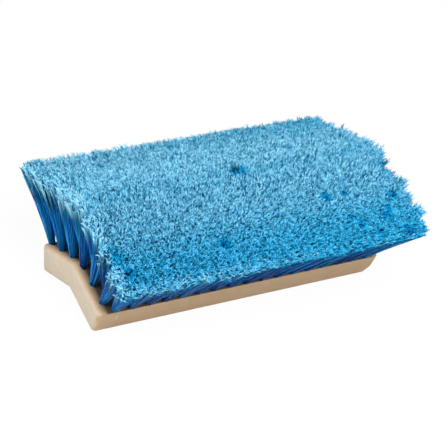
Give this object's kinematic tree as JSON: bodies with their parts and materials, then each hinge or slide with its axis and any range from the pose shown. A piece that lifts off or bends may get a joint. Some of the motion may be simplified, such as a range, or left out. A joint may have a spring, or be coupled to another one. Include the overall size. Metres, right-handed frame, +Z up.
{
  "type": "deck brush",
  "caption": "Bent-block deck brush head with flared, flagged tufts on both sloping sections and a threaded handle socket underneath.",
  "frame": {"origin": "on the floor under the middle of the head, as it lies on its back with the bristles up", "axes": "+X along the block, +Y to the rear section, +Z up through the bristles"},
  "size_m": [0.2732, 0.1672, 0.0948],
  "materials": {
    "block_plastic": "moulded foam plastic, satin",
    "bristle": "flagged plastic filament"
  },
  "bodies": {
    "root": {"brush_block": "block_plastic", "front_row_1": "bristle", "front_row_2": "bristle", "front_row_3": "bristle", "front_row_4": "bristle", "front_row_5": "bristle", "front_row_6": "bristle", "rear_row_1": "bristle", "rear_row_2": "bristle", "rear_row_3": "bristle", "rear_row_4": "bristle", "rear_row_5": "bristle", "rear_row_6": "bristle"}
  },
  "joints": []
}
